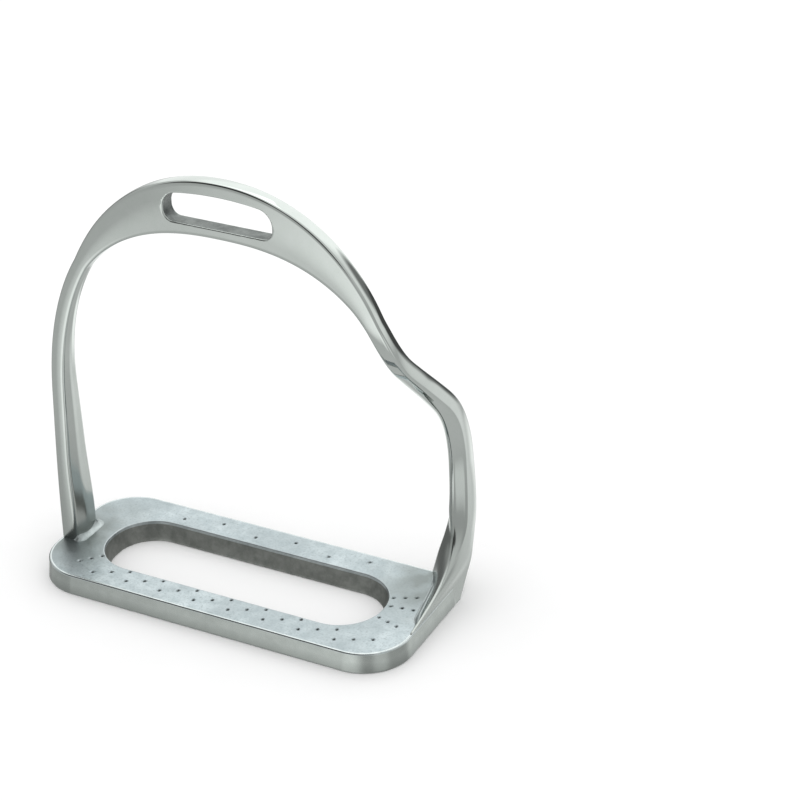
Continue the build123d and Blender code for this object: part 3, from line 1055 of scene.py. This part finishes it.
def make_floor():
    mesh = bpy.data.meshes.new("studio_floor")
    half = FLOOR_HALF
    mesh.from_pydata([(-half, -half, 0), (half, -half, 0), (half, half, 0), (-half, half, 0)],
                     [], [(0, 1, 2, 3)])
    material, tree, shader = new_material("studio_floor", 0.9)
    shader.inputs["Metallic"].default_value = 0.0
    shader.inputs["Specular IOR Level"].default_value = 0.0
    weave = noise_field(tree, 40.0, detail=3.0)
    grey = FLOOR_ALBEDO
    tree.links.new(ramp(tree, weave, [(0.3, (grey, grey, grey)), (0.7, (grey + 0.01,) * 3)]),
                   shader.inputs["Base Color"])
    floor = add_object("studio_floor", mesh, (material,))
    floor.location.z = -FLOOR_SINK
    floor.visible_glossy = False


# what the bare metal reflects: brightness by height, from straight down to straight up
ROOM_GREYS = ((0.0, 0.60), (0.25, 0.56), (0.45, 0.50), (0.60, 0.50), (0.75, 0.62), (1.0, 0.85))
# and in it soft boxes and dark gaps: azimuth from +Y towards +X, elevation, where each starts to
# fade and where it has faded out (degrees from its middle), brightness
ROOM_PANELS = (
    (-5, 34, 28, 46, 1.35),
    (-38, 8, 10, 20, 1.15),
    (-40, -44, 8, 22, 1.10),
    (-163, -28, 7, 18, 1.00),
    (-176, -30, 8, 25, 1.20),
    (52, 14, 12, 26, 0.95),
    (32, -24, 8, 17, 0.88),
    (7, -35, 5, 12, 1.20),
    (118, -22, 8, 20, 0.85),
    (31, 13, 7, 15, 0.22),
    (28, -2, 9, 13, 0.08),
    (16, -8, 10, 14, 0.08),
    (-64, -8, 16, 25, 0.18),
    (-142, 47, 22, 34, 0.05),
    (158, 40, 18, 26, 0.05),
)


def room_direction(azimuth, elevation):
    level = cos(radians(elevation))
    x = sin(radians(azimuth)) * level
    y = cos(radians(azimuth)) * level
    return (x, y, sin(radians(elevation)))


def make_world():
    """An even white light on everything that is matt, and for the bare metal to reflect a grey
    room with soft boxes and dark gaps."""
    world = bpy.data.worlds.new("studio")
    world.use_nodes = True
    bpy.context.scene.world = world
    tree = world.node_tree
    tree.nodes.clear()
    direction = tree.nodes.new("ShaderNodeTexCoord").outputs["Generated"]
    parts = tree.nodes.new("ShaderNodeSeparateXYZ")
    tree.links.new(direction, parts.inputs["Vector"])
    height = remap(tree, parts.outputs["Z"], -1.0, 1.0, 0.0, 1.0)
    room = ramp(tree, height, [(place, tinted(grey)) for place, grey in ROOM_GREYS])
    for azimuth, elevation, inner, outer, grey in ROOM_PANELS:
        towards = tree.nodes.new("ShaderNodeVectorMath")
        towards.operation = "DOT_PRODUCT"
        towards.inputs[1].default_value = room_direction(azimuth, elevation)
        tree.links.new(direction, towards.inputs[0])
        mask = remap(tree, towards.outputs["Value"], cos(radians(outer)), cos(radians(inner)), 0, 1)
        room = mixed(tree, mask, room, tinted(grey))
    reflected = tree.nodes.new("ShaderNodeBackground")
    tree.links.new(room, reflected.inputs["Color"])
    white = tree.nodes.new("ShaderNodeBackground")
    white.inputs["Strength"].default_value = LIGHT_LEVEL
    white.inputs["Color"].default_value = (1, 1, 1, 1)
    rays = tree.nodes.new("ShaderNodeLightPath")
    either = tree.nodes.new("ShaderNodeMixShader")
    tree.links.new(rays.outputs["Is Glossy Ray"], either.inputs["Fac"])
    tree.links.new(white.outputs["Background"], either.inputs[1])
    tree.links.new(reflected.outputs["Background"], either.inputs[2])
    output = tree.nodes.new("ShaderNodeOutputWorld")
    tree.links.new(either.outputs["Shader"], output.inputs["Surface"])


def make_panel(name, place, aim, size, power):
    """A soft box, turned towards a point."""
    light = bpy.data.lights.new(name, "AREA")
    light.shape = "RECTANGLE"
    light.size, light.size_y = size
    light.energy = power
    panel = bpy.data.objects.new(name, light)
    panel.location = place
    panel.rotation_euler = (Vector(aim) - Vector(place)).to_track_quat("-Z", "Y").to_euler()
    panel.visible_camera = False
    bpy.context.scene.collection.objects.link(panel)


def make_camera():
    ahead = CAMERA_AHEAD.normalized()
    right = ahead.cross(Vector((0, 0, 1))).normalized()
    up = right.cross(ahead)
    rolled_right = right * cos(CAMERA_ROLL) - up * sin(CAMERA_ROLL)
    rolled_up = right * sin(CAMERA_ROLL) + up * cos(CAMERA_ROLL)
    lens = bpy.data.cameras.new("camera")
    lens.lens = CAMERA_LENS
    lens.sensor_width = CAMERA_SENSOR
    lens.clip_start = CAMERA_CLIP
    camera = bpy.data.objects.new("camera", lens)
    turn = Matrix((rolled_right, rolled_up, -ahead)).transposed()
    camera.matrix_world = Matrix.Translation(CAMERA_PLACE) @ turn.to_4x4()
    bpy.context.scene.collection.objects.link(camera)
    bpy.context.scene.camera = camera


def make_studio():
    make_floor()
    make_world()
    make_panel("overhead", OVERHEAD_PLACE, OVERHEAD_AIM, OVERHEAD_SIZE, OVERHEAD_POWER)
    make_camera()
    settings = bpy.context.scene.view_settings
    settings.view_transform = "Standard"
    settings.look = "None"


# ---- the whole ----------------------------------------------------------------------------
metals = make_materials()
make_bow(metals["polished"], metals["eye_wall"])
make_tread([metals[finish] for finish in TREAD_FINISHES])
make_inner_weld(metals["weld"])
make_outer_weld(metals["weld"])
make_studio()
